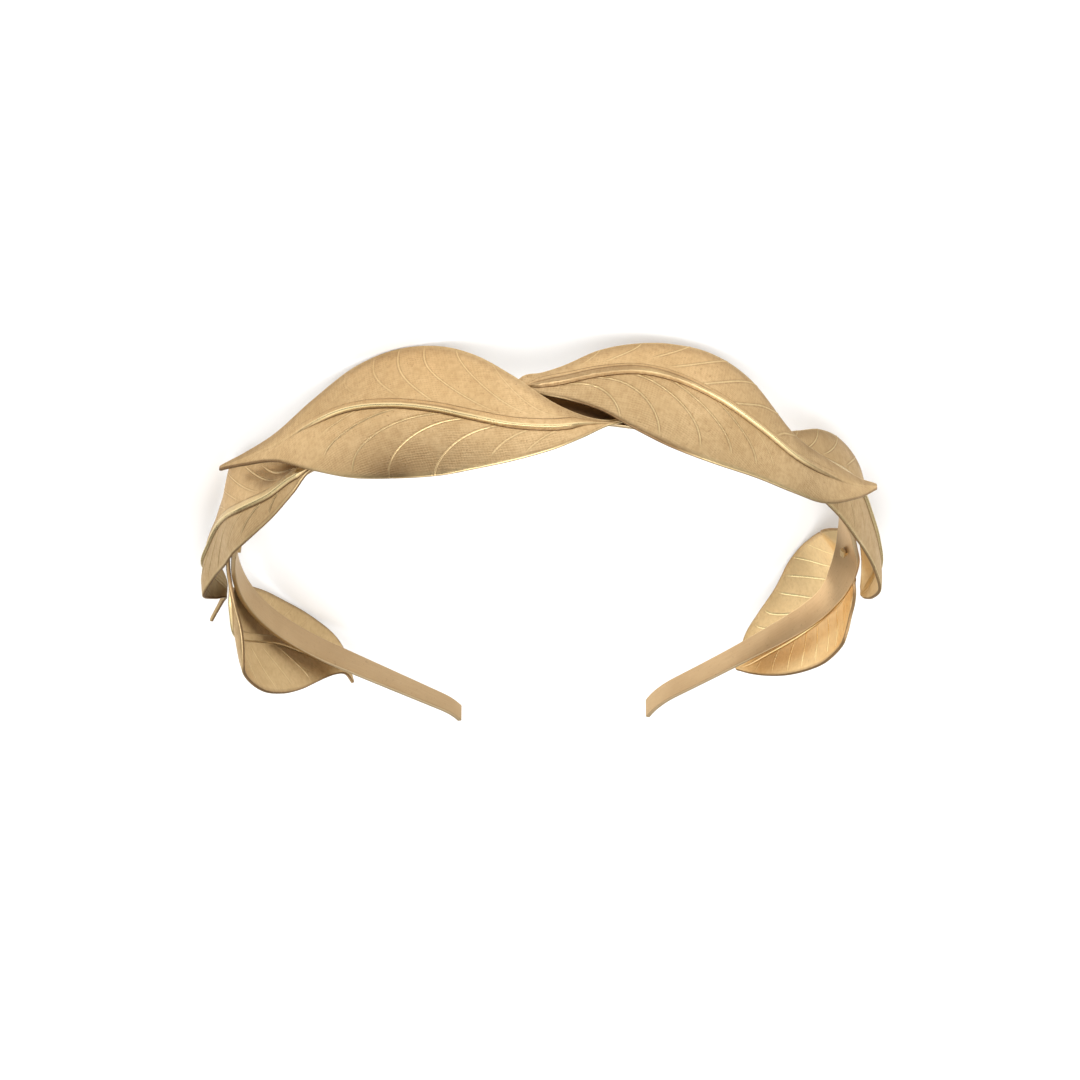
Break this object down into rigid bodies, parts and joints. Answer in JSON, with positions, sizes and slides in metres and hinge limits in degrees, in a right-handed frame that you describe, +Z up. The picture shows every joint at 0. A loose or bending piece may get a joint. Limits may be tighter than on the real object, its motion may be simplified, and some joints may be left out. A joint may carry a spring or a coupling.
{
  "type": "leaf headband",
  "caption": "Open rigid headband: a flat metal strip bent round the head with broad ribbed and veined leaves overlapping along its front and sides.",
  "frame": {"origin": "bottom centre of the bounding box, on the surface the headband lies on", "axes": "+Z points up from the surface. The side that faces the crown of a wearer's head is down, as the headband rests by itself on three of its leaves. +Y runs from the forehead to the open back, and +X to the wearer's right."},
  "size_m": [0.162, 0.1606, 0.0348],
  "materials": {
    "strip": "satin",
    "leaf": "satin, finely textured"
  },
  "bodies": {
    "root": {"band": "strip", "front_leaf_left": "leaf", "front_leaf_right": "leaf", "side_leaf_left": "leaf", "side_leaf_right": "leaf", "back_leaf_left": "leaf", "back_leaf_right": "leaf"}
  },
  "joints": []
}
